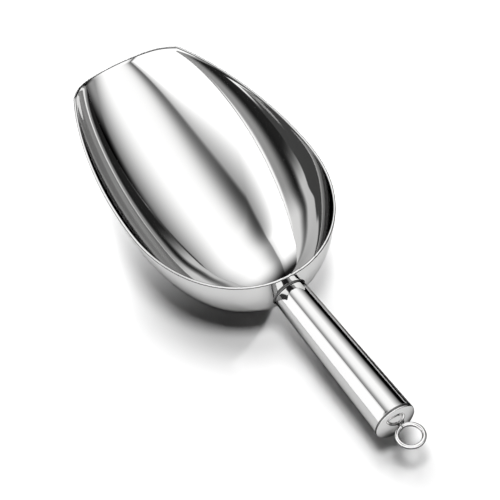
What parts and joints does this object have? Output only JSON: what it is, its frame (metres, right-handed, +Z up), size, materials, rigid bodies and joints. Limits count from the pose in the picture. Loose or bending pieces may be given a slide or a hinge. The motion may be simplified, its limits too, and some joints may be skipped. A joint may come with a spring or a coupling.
{
  "type": "ice scoop",
  "caption": "Bar ice scoop: deep pressed bowl with a low bowed mouth and rounded back, tapered round tube handle with domed end cap, and a small wire eye for hanging.",
  "frame": {"origin": "middle of the flat spot the bowl stands on, on the standing surface", "axes": "+Y from the handle to the mouth, +X to the right seen from the handle, +Z up"},
  "size_m": [0.0908, 0.2341, 0.0511],
  "materials": {
    "bowl_steel": "mirror-polished stainless steel",
    "handle_steel": "mirror-polished stainless steel",
    "cap_steel": "mirror-polished stainless steel",
    "eye_steel": "polished stainless steel wire",
    "weld_steel": "weld bead, polished over"
  },
  "bodies": {
    "root": {"bowl": "bowl_steel", "handle_tube": "handle_steel", "end_cap": "cap_steel", "hanging_eye": "eye_steel", "handle_weld": "weld_steel", "eye_weld": "weld_steel"}
  },
  "joints": []
}
